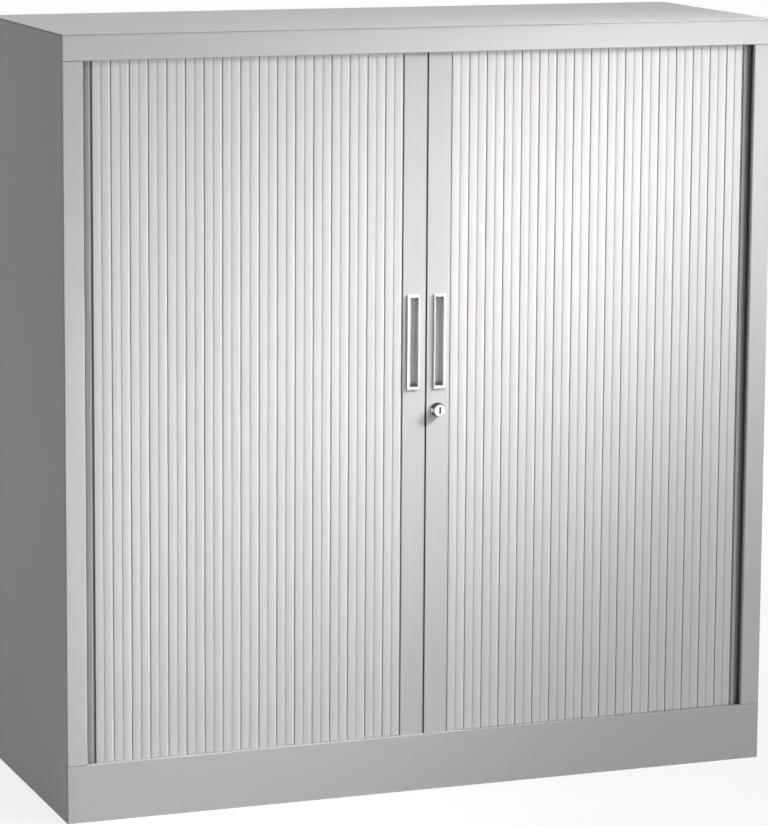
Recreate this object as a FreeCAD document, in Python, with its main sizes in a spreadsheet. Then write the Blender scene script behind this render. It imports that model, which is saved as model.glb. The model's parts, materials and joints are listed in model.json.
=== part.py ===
"""Side-opening roll front cabinet: sheet steel carcass, two slatted curtains, lock, shelves and feet.

Millimetres, +Z up. X runs along the width, the front faces -Y, and the origin is on the floor
under the middle of the carcass.
"""
import FreeCAD
import Part
import math
import os
import Sketcher

Vector = FreeCAD.Vector
Rotation = FreeCAD.Rotation
Placement = FreeCAD.Placement

# ---------------------------------------------------------------- driving dimensions

DIMENSIONS = {
    # carcass
    "cabinet_width": 1200.0,
    "cabinet_depth": 430.0,
    "cabinet_height": 1238.0,
    "sheet_gauge": 1.0,
    "bend_radius": 2.0,
    "panel_fit": 0.3,
    "stile_width": 33.0,
    "stile_return": 7.0,
    "stile_seam": 0.5,
    "back_flange": 16.0,
    "head_rail_height": 41.0,
    "plinth_height": 92.5,
    "plinth_foot_flange": 15.0,
    "lid_edge": 1.5,
    "lid_reveal": 1.0,
    "lid_border": 14.0,
    "lid_downstand": 12.0,
    "base_flange": 25.0,
    # curtain and its tracks
    "curtain_recess": 9.0,
    "hinge_depth": 6.0,
    "corner_radius": 45.0,
    "curtain_tail": 71.0,
    "slat_back": 1.5,
    "slat_wall": 1.0,
    "slat_corner": 0.8,
    "slat_lip": 1.8,
    "seam_gap": 1.6,
    "rib_groove_width": 1.6,
    "rib_groove_depth": 1.6,
    "rib_crown": 0.6,
    "bead_radius": 2.0,
    "bead_clearance": 0.3,
    "bead_neck": 1.2,
    "socket_wall": 1.1,
    "socket_room": 0.9,
    "socket_bite": 0.3,
    "slat_end_cover": 8.0,
    "guide_pin_length": 7.0,
    "track_gap": 2.0,
    "track_width": 12.0,
    "track_height": 9.0,
    "track_groove_depth": 6.0,
    "pin_clearance": 0.35,
    "track_joint": 0.2,
    "stop_margin": 12.0,
    # lead rails
    "lead_width": 40.5,
    "lead_recess": 8.0,
    "lead_depth": 17.0,
    "lead_wall": 1.2,
    "lead_corner": 1.1,
    "lead_back_lip": 8.0,
    "meeting_gap": 1.0,
    "shoe_height": 12.0,
    "shoe_fit": 0.3,
    # handles
    "handle_middle_height": 735.0,
    "handle_length": 153.5,
    "handle_width": 21.4,
    "rim_outset": 1.3,
    "handle_proud": 3.0,
    "recess_length": 143.5,
    "recess_width": 13.6,
    "recess_depth": 13.0,
    "handle_wall": 1.4,
    "handle_fit": 0.4,
    "handle_outset": 0.75,
    # lock
    "lock_drop": 34.25,
    "lock_proud": 13.0,
    "lock_inset": 1.3,
    "lock_base_radius": 11.6,
    "lock_base_height": 2.5,
    "lock_nut_height": 3.0,
    "lock_nut_wall": 4.0,
    "lock_hole_clearance": 0.1,
    "lock_face_radius": 9.6,
    "lock_root_radius": 10.4,
    "lock_bevel": 0.8,
    "lock_shank_radius": 8.0,
    "lock_shank_length": 9.0,
    "plug_radius": 6.5,
    "plug_clearance": 0.1,
    "keyway_width": 2.2,
    "keyway_height": 7.5,
    "keyway_rise": 1.0,
    "keyway_foot_radius": 1.7,
    "keyway_depth": 15.0,
    "plug_recess": 0.3,
    "cam_thickness": 1.6,
    "cam_reach": 31.0,
    "cam_hook_depth": 3.5,
    "cam_hook_length": 12.0,
    "cam_arm_width": 8.0,
    "cam_clearance": 0.4,
    "cam_square_clearance": 0.05,
    "cam_screw_radius": 6.0,
    "cam_screw_height": 2.2,
    "strike_above": 8.0,
    "strike_below": 25.5,
    "slot_margin": 2.0,
    # inner panels and shelves
    "liner_inset": 13.0,
    "liner_start": 42.0,
    "liner_front_flange": 12.0,
    "pocket_depth": 160.0,
    "inner_front": 28.0,
    "clip_slot_width": 3.0,
    "clip_slot_height": 12.0,
    "clip_pitch": 32.0,
    "clip_row_inset": 60.0,
    "first_clip_height": 31.2,
    "shelf_thickness": 25.0,
    "shelf_gap": 1.5,
    "shelf_lip": 12.0,
    "clip_ledge": 14.0,
    "clip_width": 16.0,
    "clip_leg": 14.0,
    "clip_hook_drop": 5.0,
    # levelling feet
    "foot_inset": 62.0,
    "pad_radius": 22.0,
    "pad_height": 8.0,
    "stem_radius": 5.0,
    "stem_length": 60.0,
    "stem_clearance": 0.1,
    "stem_seat": 3.0,
    "bracket_width": 60.0,
    "bracket_length": 40.0,
    "bracket_drop": 32.0,
    "bracket_gauge": 3.0,
    "collar_radius": 9.0,
    "collar_height": 10.0,
    "hex_socket": 5.0,
    "hex_socket_depth": 6.0,
    "pad_taper": 6.0,
    "access_clearance": 2.0,
    # back screws and door buffers
    "screw_head_radius": 3.5,
    "screw_head_height": 1.8,
    "screw_shank_radius": 1.8,
    "screw_length": 6.0,
    "screw_hole_clearance": 0.3,
    "screw_end_inset": 30.0,
    "buffer_width": 6.0,
    "buffer_depth": 4.5,
    "buffer_height": 18.0,
}

SLATS_PER_DOOR = 19
LEADING_SLAT_COUNT = 3
TRAILING_SLAT_COUNT = 6
SLOT_COUNT_TO_LOWER_SHELF = 10
SLOT_COUNT_TO_UPPER_SHELF = 22
SCREWS_PER_SIDE = 5

# how far a cutting shape reaches past the faces that it cuts
OVERRUN = 1.0

# how near an edge lies to the place where it is looked for
CLOSE = 0.01

# ---------------------------------------------------------------- document and sizes

doc = FreeCAD.newDocument("roll_front_cabinet")
sheet = doc.addObject("Spreadsheet::Sheet", "Sizes")
for row, (alias, number) in enumerate(DIMENSIONS.items(), start=1):
    sheet.set("A%d" % row, alias)
    sheet.set("B%d" % row, str(number))
    sheet.setAlias("B%d" % row, alias)
doc.recompute()


class Size:
    """A length that carries its number and the sheet expression that gives it."""

    def __init__(self, number, text):
        self.number = float(number)
        self.text = text

    def join(self, other, sign, number):
        return Size(number, "(%s %s %s)" % (self.text, sign, other.text))

    def __add__(self, other):
        other = as_size(other)
        return self.join(other, "+", self.number + other.number)

    def __radd__(self, other):
        return as_size(other) + self

    def __sub__(self, other):
        other = as_size(other)
        return self.join(other, "-", self.number - other.number)

    def __rsub__(self, other):
        return as_size(other) - self

    def __mul__(self, other):
        other = as_size(other)
        return self.join(other, "*", self.number * other.number)

    def __rmul__(self, other):
        return as_size(other) * self

    def __truediv__(self, other):
        other = as_size(other)
        return self.join(other, "/", self.number / other.number)

    def __neg__(self):
        return Size(-self.number, "(-1 * %s)" % self.text)


def as_size(value):
    return value if isinstance(value, Size) else Size(value, repr(float(value)))


def cell(alias):
    return Size(DIMENSIONS[alias], "Sizes." + alias)


gauge = cell("sheet_gauge")
fit = cell("panel_fit")
bend = cell("bend_radius")

half_width = cell("cabinet_width") / 2
front = -cell("cabinet_depth") / 2
back = cell("cabinet_depth") / 2
top = cell("cabinet_height")

# heights, from the floor up
plinth_top = cell("plinth_height")
head_bottom = top - cell("head_rail_height")
slat_bottom = plinth_top - cell("slat_end_cover")
slat_top = head_bottom + cell("slat_end_cover")
base_top = slat_bottom - cell("track_gap") - cell("track_height")
roof_bottom = slat_top + cell("track_gap") + cell("track_height")
lid_bottom = top - cell("lid_edge")
wall_top = lid_bottom - cell("lid_reveal")
middle_height = (slat_bottom + slat_top) / 2

# line that the curtain's hinge beads follow
line_inset = cell("curtain_recess") + cell("hinge_depth")
line_front = front + line_inset
line_back = back - line_inset
line_side = half_width - line_inset
arc_x = line_side - cell("corner_radius")
arc_front = line_front + cell("corner_radius")
arc_back = line_back - cell("corner_radius")

# lead rail, from the meeting line outwards
lead_front = front + cell("lead_recess")
lead_back = lead_front + cell("lead_depth")
lead_inner = cell("meeting_gap") / 2
first_hinge = lead_inner + cell("lead_width")
slat_pitch = (arc_x + cell("curtain_tail") - first_hinge) / SLATS_PER_DOOR
door_travel = arc_x - first_hinge - cell("stop_margin")

# inner panels
tray_side = half_width - gauge - fit
tray_front = front + gauge + fit
tray_back = back - gauge * 2 - fit * 2
liner_radius = cell("corner_radius") - cell("liner_inset")
liner_side = arc_x + liner_radius
liner_front = front + cell("liner_start")
liner_back = arc_back + liner_radius
pocket_x = liner_side - cell("pocket_depth")
inner_front = front + cell("inner_front")

# ---------------------------------------------------------------- modelling helpers

nodes = []


def keep(node):
    """Put an object on the list of pieces that are written out."""
    nodes.append(node)
    return node


class Corner:
    """A corner of an outline; with a centre and a radius, the way on from it is an arc."""

    def __init__(self, x, y, centre=None, radius=None):
        self.x = as_size(x)
        self.y = as_size(y)
        self.centre = centre
        self.radius = radius

    def point(self):
        return Vector(self.x.number, self.y.number, 0)

    def across(self, side):
        """The same corner on the given side of the cabinet."""
        centre = self.centre and (side * self.centre[0], self.centre[1])
        return Corner(side * self.x, self.y, centre, self.radius)


def corners_of(points):
    return [point if isinstance(point, Corner) else Corner(*point) for point in points]


def across(points, side):
    """An outline drawn for the right-hand side, put on the given side."""
    return [corner.across(side) for corner in corners_of(points)]


def both_sides(points):
    """A right-hand half outline joined to its own mirror image."""
    right = corners_of(points)
    left = []
    for corner, before in zip(right[::-1], right[-2::-1] + [Corner(0, 0)]):
        image = before.across(-1)
        left.append(Corner(-corner.x, corner.y, image.centre, image.radius))
    return right + left


def rectangle(x_low, x_high, y_low, y_high):
    return [(x_low, y_low), (x_high, y_low), (x_high, y_high), (x_low, y_high)]


def add_outline(sketch, points):
    """Draw a closed outline of lines and arcs and tie every corner to the sheet."""
    corners = corners_of(points)
    first = sketch.GeometryCount
    count = len(corners)
    ends = []
    for index, corner in enumerate(corners):
        start = corner.point()
        end = corners[(index + 1) % count].point()
        if corner.centre is None:
            sketch.addGeometry(Part.LineSegment(start, end), False)
            ends.append((1, 2))
            continue
        centre = Vector(corner.centre[0].number, corner.centre[1].number, 0)
        circle = Part.Circle(centre, Vector(0, 0, 1), corner.radius.number)
        onwards = (start - centre).cross(end - centre).z > 0
        low, high = (start, end) if onwards else (end, start)
        ends.append((1, 2) if onwards else (2, 1))
        arc = Part.ArcOfCircle(circle, circle.parameter(low), circle.parameter(high))
        sketch.addGeometry(arc, False)
    for index, corner in enumerate(corners):
        after = (index + 1) % count
        meeting = (first + index, ends[index][1], first + after, ends[after][0])
        sketch.addConstraint(Sketcher.Constraint("Coincident", *meeting))
        tie_point(sketch, first + index, ends[index][0], corner.x, corner.y)
        if corner.centre is not None:
            tie_radius(sketch, first + index, corner.radius)


def tie_point(sketch, geometry, end, x, y):
    for kind, size in (("DistanceX", x), ("DistanceY", y)):
        number = sketch.addConstraint(Sketcher.Constraint(kind, -1, 1, geometry, end, size.number))
        sketch.setExpression("Constraints[%d]" % number, size.text)


def tie_radius(sketch, geometry, radius):
    number = sketch.addConstraint(Sketcher.Constraint("Radius", geometry, radius.number))
    sketch.setExpression("Constraints[%d]" % number, radius.text)


def add_circle(sketch, x, y, radius):
    """Draw a circle and tie its centre and radius to the sheet."""
    x, y, radius = as_size(x), as_size(y), as_size(radius)
    centre = Vector(x.number, y.number, 0)
    geometry = sketch.addGeometry(Part.Circle(centre, Vector(0, 0, 1), radius.number), False)
    tie_point(sketch, geometry, 3, x, y)
    tie_radius(sketch, geometry, radius)


def draw(body, name, plane, offset, outlines, circles):
    """Make a sketch on one of the body's own origin planes, moved along its normal."""
    sketch = body.newObject("Sketcher::SketchObject", name)
    support = [face for face in body.Origin.OriginFeatures if face.Role == plane][0]
    sketch.AttachmentSupport = [(support, "")]
    sketch.MapMode = "FlatFace"
    sketch.setExpression("AttachmentOffset.Base.z", offset.text)
    for points in outlines:
        add_outline(sketch, points)
    for x, y, radius in circles:
        add_circle(sketch, x, y, radius)
    return sketch


def pad(body, name, plane, low, high, outlines=(), circles=()):
    """Add material between two places along the plane's axis."""
    low, high = as_size(low), as_size(high)
    offset = -high if plane == "XZ_Plane" else low
    feature = body.newObject("PartDesign::Pad", name)
    feature.Profile = draw(body, name + "_sketch", plane, offset, outlines, circles)
    feature.setExpression("Length", (high - low).text)
    return feature


def pocket(body, name, plane, low, high, outlines=(), circles=()):
    """Take material away between two places along the plane's axis."""
    low, high = as_size(low), as_size(high)
    offset = -low if plane == "XZ_Plane" else high
    doc.recompute()
    before = body.Shape.Volume
    feature = body.newObject("PartDesign::Pocket", name)
    feature.Profile = draw(body, name + "_sketch", plane, offset, outlines, circles)
    feature.setExpression("Length", (high - low).text)
    doc.recompute()
    if not body.Shape.Volume < before - 1e-6:
        raise ValueError("pocket %s takes nothing away" % name)
    return feature


def round_edges(body, name, radius, chosen):
    """Round the edges of the body that a test on the edge's middle and direction picks."""
    doc.recompute()
    base = body.Tip
    names = []
    for number, edge in enumerate(base.Shape.Edges, start=1):
        if len(edge.Vertexes) != 2:
            continue
        start, end = edge.Vertexes[0].Point, edge.Vertexes[1].Point
        run = end - start
        if run.Length > 1e-6 and chosen((start + end) / 2, run / run.Length):
            names.append("Edge%d" % number)
    if not names:
        raise ValueError("fillet %s finds no edge" % name)
    feature = body.newObject("PartDesign::Fillet", name)
    feature.Base = (base, names)
    feature.setExpression("Radius", as_size(radius).text)
    doc.recompute()
    return feature


def upright_at(*places):
    """Test for upright edges at the given plan places."""
    targets = [(as_size(x).number, as_size(y).number) for x, y in places]

    def test(middle, run):
        near = [abs(middle.x - x) < CLOSE and abs(middle.y - y) < CLOSE for x, y in targets]
        return abs(run.z) > 0.99 and any(near)

    return test


def level_at(y, z):
    """Test for level edges along X at the given place."""
    y, z = as_size(y).number, as_size(z).number

    def test(middle, run):
        return abs(run.x) > 0.99 and abs(middle.y - y) < CLOSE and abs(middle.z - z) < CLOSE

    return test


def new_body(label):
    return doc.addObject("PartDesign::Body", label)


def box(name, x_low, x_high, y_low, y_high, z_low, z_high):
    """A Part box between two corners, tied to the sheet."""
    block = doc.addObject("Part::Box", name)
    spans = (
        ("Length", "x", x_low, x_high),
        ("Width", "y", y_low, y_high),
        ("Height", "z", z_low, z_high),
    )
    for side, axis, low, high in spans:
        low, high = as_size(low), as_size(high)
        block.setExpression(side, (high - low).text)
        block.setExpression("Placement.Base." + axis, low.text)
    return block


def cylinder(name, radius, x, y, z, length, along="z", cone_to=None):
    """A Part cylinder, or a cone where a second radius is given, along +Z or +Y."""
    kind = "Part::Cylinder" if cone_to is None else "Part::Cone"
    round_bar = doc.addObject(kind, name)
    if along == "y":
        round_bar.Placement = Placement(Vector(), Rotation(Vector(1, 0, 0), -90))
    if cone_to is None:
        round_bar.setExpression("Radius", as_size(radius).text)
    else:
        round_bar.setExpression("Radius1", as_size(radius).text)
        round_bar.setExpression("Radius2", as_size(cone_to).text)
    round_bar.setExpression("Height", as_size(length).text)
    for axis, place in (("x", x), ("y", y), ("z", z)):
        round_bar.setExpression("Placement.Base." + axis, as_size(place).text)
    return round_bar


def fuse(name, *pieces):
    joined = doc.addObject("Part::MultiFuse", name)
    joined.Shapes = list(pieces)
    joined.Refine = True
    return joined


def cut(name, base, tool):
    carved = doc.addObject("Part::Cut", name)
    carved.Base = base
    carved.Tool = tool
    return carved


def group(label, pieces):
    """Several separate solids that share one node."""
    together = doc.addObject("Part::Compound", label)
    together.Links = list(pieces)
    return keep(together)


SIDES = (("left", -1), ("right", 1))

# ---------------------------------------------------------------- carcass


def back_screw_heights():
    """Heights of the screws along each edge of the back panel."""
    low = base_top + cell("screw_end_inset")
    high = roof_bottom - cell("screw_end_inset")
    step = (high - low) / (SCREWS_PER_SIDE - 1)
    return [low + step * index for index in range(SCREWS_PER_SIDE)]


screw_x = half_width - gauge - (cell("back_flange") - gauge) / 2


def side_panel(name, side):
    """Side wall folded round the front corner into the stile and in at the back."""
    body = new_body(name + "_side_panel")
    edge = half_width - cell("stile_width")
    outline = [
        (edge, front),
        (half_width, front),
        (half_width, back),
        (half_width - cell("back_flange"), back),
        (half_width - cell("back_flange"), back - gauge),
        (half_width - gauge, back - gauge),
        (half_width - gauge, front + gauge),
        (edge + gauge, front + gauge),
        (edge + gauge, front + cell("stile_return")),
        (edge, front + cell("stile_return")),
    ]
    pad(body, name + "_side_fold", "XY_Plane", 0, wall_top, [across(outline, side)])
    outer = [(side * half_width, front), (side * edge, front), (side * half_width, back)]
    inner = [
        (side * (half_width - gauge), front + gauge),
        (side * (edge + gauge), front + gauge),
        (side * (half_width - gauge), back - gauge),
    ]
    round_edges(body, name + "_side_outer_bends", bend, upright_at(*outer))
    round_edges(body, name + "_side_inner_bends", bend - gauge, upright_at(*inner))
    notch_side = side * (edge - OVERRUN)
    notch_outer = side * (half_width + OVERRUN)
    notch_back = front + cell("stile_return") + fit
    clear = rectangle(notch_side, notch_outer, front - OVERRUN, notch_back)
    foot = plinth_top + cell("stile_seam")
    head = head_bottom - cell("stile_seam")
    pocket(body, name + "_side_plinth_notch", "XY_Plane", -OVERRUN, foot, [clear])
    pocket(body, name + "_side_head_notch", "XY_Plane", head, wall_top + OVERRUN, [clear])
    hole = cell("screw_shank_radius") + cell("screw_hole_clearance")
    holes = [(side * screw_x, height, hole) for height in back_screw_heights()]
    deep = back - gauge - OVERRUN
    pocket(body, name + "_side_screw_holes", "XZ_Plane", deep, back + OVERRUN, circles=holes)
    return keep(body)


def front_wrap(z_low, z_high, body, name):
    """Front sheet with short returns round both front corners."""
    wrap = cell("stile_return")
    outline = [
        (-half_width, front),
        (half_width, front),
        (half_width, front + wrap),
        (half_width - gauge, front + wrap),
        (half_width - gauge, front + gauge),
        (-half_width + gauge, front + gauge),
        (-half_width + gauge, front + wrap),
        (-half_width, front + wrap),
    ]
    pad(body, name + "_fold", "XY_Plane", z_low, z_high, [outline])
    outer = [(half_width, front), (-half_width, front)]
    round_edges(body, name + "_outer_bends", bend, upright_at(*outer))
    corners = [(half_width - gauge, front + gauge), (-half_width + gauge, front + gauge)]
    round_edges(body, name + "_inner_bends", bend - gauge, upright_at(*corners))


def plinth_panel():
    """Full width plinth under the stiles, folded in at the top and along the floor."""
    body = new_body("plinth_panel")
    front_wrap(as_size(0), plinth_top, body, "plinth")
    inside = half_width - gauge
    shelf = rectangle(-inside, inside, front + gauge / 2, front + cell("stile_return"))
    pad(body, "plinth_top_flange", "XY_Plane", plinth_top - gauge, plinth_top, [shelf])
    toe = half_width - gauge * 2 - fit
    foot = rectangle(-toe, toe, front + gauge / 2, front + cell("plinth_foot_flange"))
    pad(body, "plinth_floor_flange", "XY_Plane", 0, gauge, [foot])
    round_edges(body, "plinth_top_bend", gauge, level_at(front, plinth_top))
    return keep(body)


def head_rail():
    """Full width rail over the doors, folded in over the top of the opening."""
    body = new_body("top_rail")
    front_wrap(head_bottom, wall_top, body, "head")
    inside = half_width - gauge
    lip = rectangle(-inside, inside, front + gauge / 2, front + cell("stile_return"))
    pad(body, "head_lower_flange", "XY_Plane", head_bottom, head_bottom + gauge, [lip])
    round_edges(body, "head_lower_bend", gauge, level_at(front, head_bottom))
    return keep(body)


def back_panel():
    """Flat back sheet, screwed to the rear flanges of the side panels."""
    body = new_body("back_panel")
    sheet_back = back - gauge - fit
    plan = rectangle(-tray_side, tray_side, sheet_back - gauge, sheet_back)
    pad(body, "back_sheet", "XY_Plane", 0, wall_top, [plan])
    hole = cell("screw_shank_radius") + cell("screw_hole_clearance")
    holes = [(side * screw_x, height, hole) for _, side in SIDES for height in back_screw_heights()]
    near = sheet_back - gauge - OVERRUN
    pocket(body, "back_screw_holes", "XZ_Plane", near, sheet_back + OVERRUN, circles=holes)
    return keep(body)


def back_screws():
    """Pan head screws through the rear flanges and the back panel."""
    screws = []
    for name, side in SIDES:
        for index, height in enumerate(back_screw_heights()):
            tag = "%s_back_screw_%d" % (name, index + 1)
            head = cylinder(
                tag + "_head", cell("screw_head_radius"), side * screw_x, back, height,
                cell("screw_head_height"), "y",
            )
            shank = cylinder(
                tag + "_shank", cell("screw_shank_radius"), side * screw_x, back - cell("screw_length"),
                height, cell("screw_length") + cell("screw_head_height") / 2, "y",
            )
            screws.append(fuse(tag, head, shank))
    return group("back_screws", screws)


def tray(label, plate_low, plate_high, flange_low, flange_high, outer, inner, plate_holes=()):
    """Sheet with a flange all round, open on the side away from the plate."""
    body = new_body(label)
    low = flange_low if flange_low.number < plate_low.number else plate_low
    high = flange_high if flange_high.number > plate_high.number else plate_high
    pad(body, label + "_blank", "XY_Plane", low, high, [outer])
    if flange_low.number < plate_low.number:
        pocket(body, label + "_hollow", "XY_Plane", flange_low - OVERRUN, plate_low, [inner])
    else:
        pocket(body, label + "_hollow", "XY_Plane", plate_high, flange_high + OVERRUN, [inner])
    if plate_holes:
        span = (plate_low - OVERRUN, plate_high + OVERRUN)
        pocket(body, label + "_holes", "XY_Plane", *span, circles=plate_holes)
    return keep(body)


def foot_places():
    """Plan places of the four levelling feet, with their names."""
    across = half_width - cell("foot_inset")
    ahead = front + cell("foot_inset")
    behind = back - cell("foot_inset")
    return [
        ("front_left", -across, ahead),
        ("front_right", across, ahead),
        ("rear_left", -across, behind),
        ("rear_right", across, behind),
    ]


def access_holes():
    """Holes over the feet, for the key that turns the stems from inside."""
    radius = cell("stem_radius") + cell("access_clearance")
    return [(x, y, radius) for _, x, y in foot_places()]


def base_and_roof():
    """Structural trays that carry the tracks: the base under the doors and the roof over them."""
    outer = rectangle(-tray_side, tray_side, tray_front, tray_back)
    inner = rectangle(-tray_side + gauge, tray_side - gauge, tray_front + gauge, tray_back - gauge)
    flange_low = base_top - cell("base_flange")
    holes = access_holes()
    tray("base_panel", base_top - gauge, base_top, flange_low, base_top, outer, inner, holes)
    tray("roof_panel", roof_bottom, roof_bottom + gauge, roof_bottom, lid_bottom, outer, inner)


def inner_outline(inset):
    """Plan of the floor and ceiling of the inside, set in by the given amount."""
    radius = liner_radius - gauge - fit - inset
    side = arc_x + radius
    behind = arc_back + radius
    shoulder = liner_front + gauge + fit + inset
    neck = liner_side - cell("liner_front_flange") - fit - inset
    pocket_edge = pocket_x - fit - inset
    right = [
        (neck, inner_front + inset),
        (neck, shoulder),
        (side, shoulder),
        (side, arc_back, (arc_x, arc_back), radius),
        (arc_x, behind),
        (pocket_edge, behind),
        (pocket_edge, tray_back - inset),
    ]
    return both_sides(right)


def floor_and_ceiling():
    """Visible floor and ceiling of the inside, between the liners."""
    outer = inner_outline(as_size(0))
    inner = inner_outline(gauge)
    holes = access_holes()
    tray("floor_panel", plinth_top - gauge, plinth_top, base_top, plinth_top, outer, inner, holes)
    tray("ceiling_panel", head_bottom, head_bottom + gauge, head_bottom, roof_bottom, outer, inner)


def top_panel():
    """Cover panel with a hemmed, rounded edge and a downstand inside the roof's flanges."""
    body = new_body("top_panel")
    whole = rectangle(-half_width, half_width, front, back)
    pad(body, "lid_blank", "XY_Plane", lid_bottom, top, [whole])
    border = cell("lid_border")
    middle = rectangle(-half_width + border, half_width - border, front + border, back - border)
    pocket(body, "lid_hollow", "XY_Plane", lid_bottom - OVERRUN, top - gauge, [middle])
    side = tray_side - gauge - fit
    ahead = tray_front + gauge + fit
    behind = tray_back - gauge - fit
    outer = rectangle(-side, side, ahead, behind)
    inner = rectangle(-side + gauge, side - gauge, ahead + gauge, behind - gauge)
    low = lid_bottom - cell("lid_downstand")
    pad(body, "lid_downstand", "XY_Plane", low, lid_bottom, [outer, inner])
    corners = [(half_width, front), (-half_width, front), (half_width, back), (-half_width, back)]
    round_edges(body, "lid_corners", bend, upright_at(*corners))
    height = top.number

    def upper(middle_point, run):
        return abs(middle_point.z - height) < CLOSE and abs(run.z) < CLOSE

    round_edges(body, "lid_upper_edge", cell("lid_edge") / 2, upper)
    return keep(body)


# ---------------------------------------------------------------- inside


def liner(name, side):
    """Inner side wall with slots for the shelf clips; its rear leg hides the stored curtain."""
    body = new_body(name + "_liner")
    flange = liner_side - cell("liner_front_flange")
    turn = (arc_x, arc_back)
    outline = [
        (flange, liner_front),
        (liner_side, liner_front),
        (liner_side, arc_back, turn, liner_radius),
        (arc_x, liner_back),
        (pocket_x + gauge, liner_back),
        (pocket_x + gauge, tray_back),
        (pocket_x, tray_back),
        (pocket_x, liner_back - gauge),
        (arc_x, liner_back - gauge, turn, liner_radius - gauge),
        (liner_side - gauge, arc_back),
        (liner_side - gauge, liner_front + gauge),
        (flange, liner_front + gauge),
    ]
    pad(body, name + "_liner_fold", "XY_Plane", base_top, roof_bottom, [across(outline, side)])
    round_edges(body, name + "_liner_bend", gauge, upright_at((side * liner_side, liner_front)))
    low_x, high_x = liner_side - gauge - OVERRUN, liner_side + OVERRUN
    if side < 0:
        low_x, high_x = -high_x, -low_x
    slots = []
    for y in clip_rows():
        half = cell("clip_slot_width") / 2
        low = first_clip
        slots.append(rectangle(y - half, y + half, low, low + cell("clip_slot_height")))
    seed = pocket(body, name + "_liner_slots", "YZ_Plane", low_x, high_x, slots)
    span = head_bottom - first_clip
    count = int((span.number - cell("clip_slot_height").number) // cell("clip_pitch").number)
    pattern = body.newObject("PartDesign::LinearPattern", name + "_liner_slot_rows")
    pattern.Originals = [seed]
    axis = [line for line in body.Origin.OriginFeatures if line.Role == "Z_Axis"][0]
    pattern.Direction = (axis, [""])
    pattern.Occurrences = count
    pattern.setExpression("Length", (cell("clip_pitch") * (count - 1)).text)
    body.Tip = pattern
    return keep(body)


first_clip = plinth_top + cell("first_clip_height")


def clip_rows():
    """Front and rear rows of clip slots, as places along the depth."""
    return [liner_front + cell("clip_row_inset"), liner_back - cell("clip_row_inset")]


def shelf_seat(slot):
    """Height at which a shelf rests on clips hooked into the given slot."""
    return first_clip + cell("clip_pitch") * slot + cell("clip_slot_height") / 2


def shelf_outline(inset):
    """Plan of a shelf between the liners, set in by the given amount."""
    radius = liner_radius - gauge - cell("shelf_gap") - inset
    right = [
        (arc_x + radius, liner_front + gauge + cell("shelf_gap") + inset),
        (arc_x + radius, arc_back, (arc_x, arc_back), radius),
        (arc_x, arc_back + radius),
    ]
    return both_sides(right)


def shelf(name, slot):
    """Sheet steel shelf, folded down all round, with a lip under its front and back edges."""
    body = new_body(name + "_shelf")
    low = shelf_seat(slot)
    high = low + cell("shelf_thickness")
    ahead = liner_front + gauge + cell("shelf_gap")
    pad(body, name + "_shelf_blank", "XY_Plane", low, high, [shelf_outline(as_size(0))])
    pocket(body, name + "_shelf_hollow", "XY_Plane", low + gauge, high - gauge, [shelf_outline(gauge)])
    mouth = shelf_outline(cell("shelf_lip"))
    pocket(body, name + "_shelf_mouth", "XY_Plane", low - OVERRUN, low + gauge * 2, [mouth])
    round_edges(body, name + "_shelf_nose", gauge, level_at(ahead, high))
    return keep(body)


def shelf_clips():
    """Clips hooked into the liner slots, four under each shelf."""
    clips = []
    for slot in (SLOT_COUNT_TO_LOWER_SHELF, SLOT_COUNT_TO_UPPER_SHELF):
        seat = shelf_seat(slot)
        for name, side in SIDES:
            for row, y in zip(("front", "rear"), clip_rows()):
                clips.append(shelf_clip("clip_%s_%s_%d" % (name, row, slot), side, y, seat))
    return group("shelf_clips", clips)


def shelf_clip(tag, side, y, seat):
    """One clip: a ledge for the shelf, a leg down the liner and a hook through its slot."""
    wall = liner_side - gauge
    wide = cell("clip_width") / 2
    leg_low = seat - cell("clip_leg")
    hook_low = seat - cell("clip_hook_drop")
    parts = (
        ("ledge", wall - cell("clip_ledge"), wall, wide, seat - gauge * 2, seat),
        ("leg", wall - gauge, wall, wide, leg_low, seat - gauge),
        ("hook", wall - gauge, liner_side + gauge, gauge, hook_low, seat - gauge),
    )
    blocks = []
    for part, x_low, x_high, half, z_low, z_high in parts:
        low, high = (x_low, x_high) if side > 0 else (-x_high, -x_low)
        blocks.append(box(tag + "_" + part, low, high, y - half, y + half, z_low, z_high))
    return fuse(tag, *blocks)


# ---------------------------------------------------------------- tracks


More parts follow.
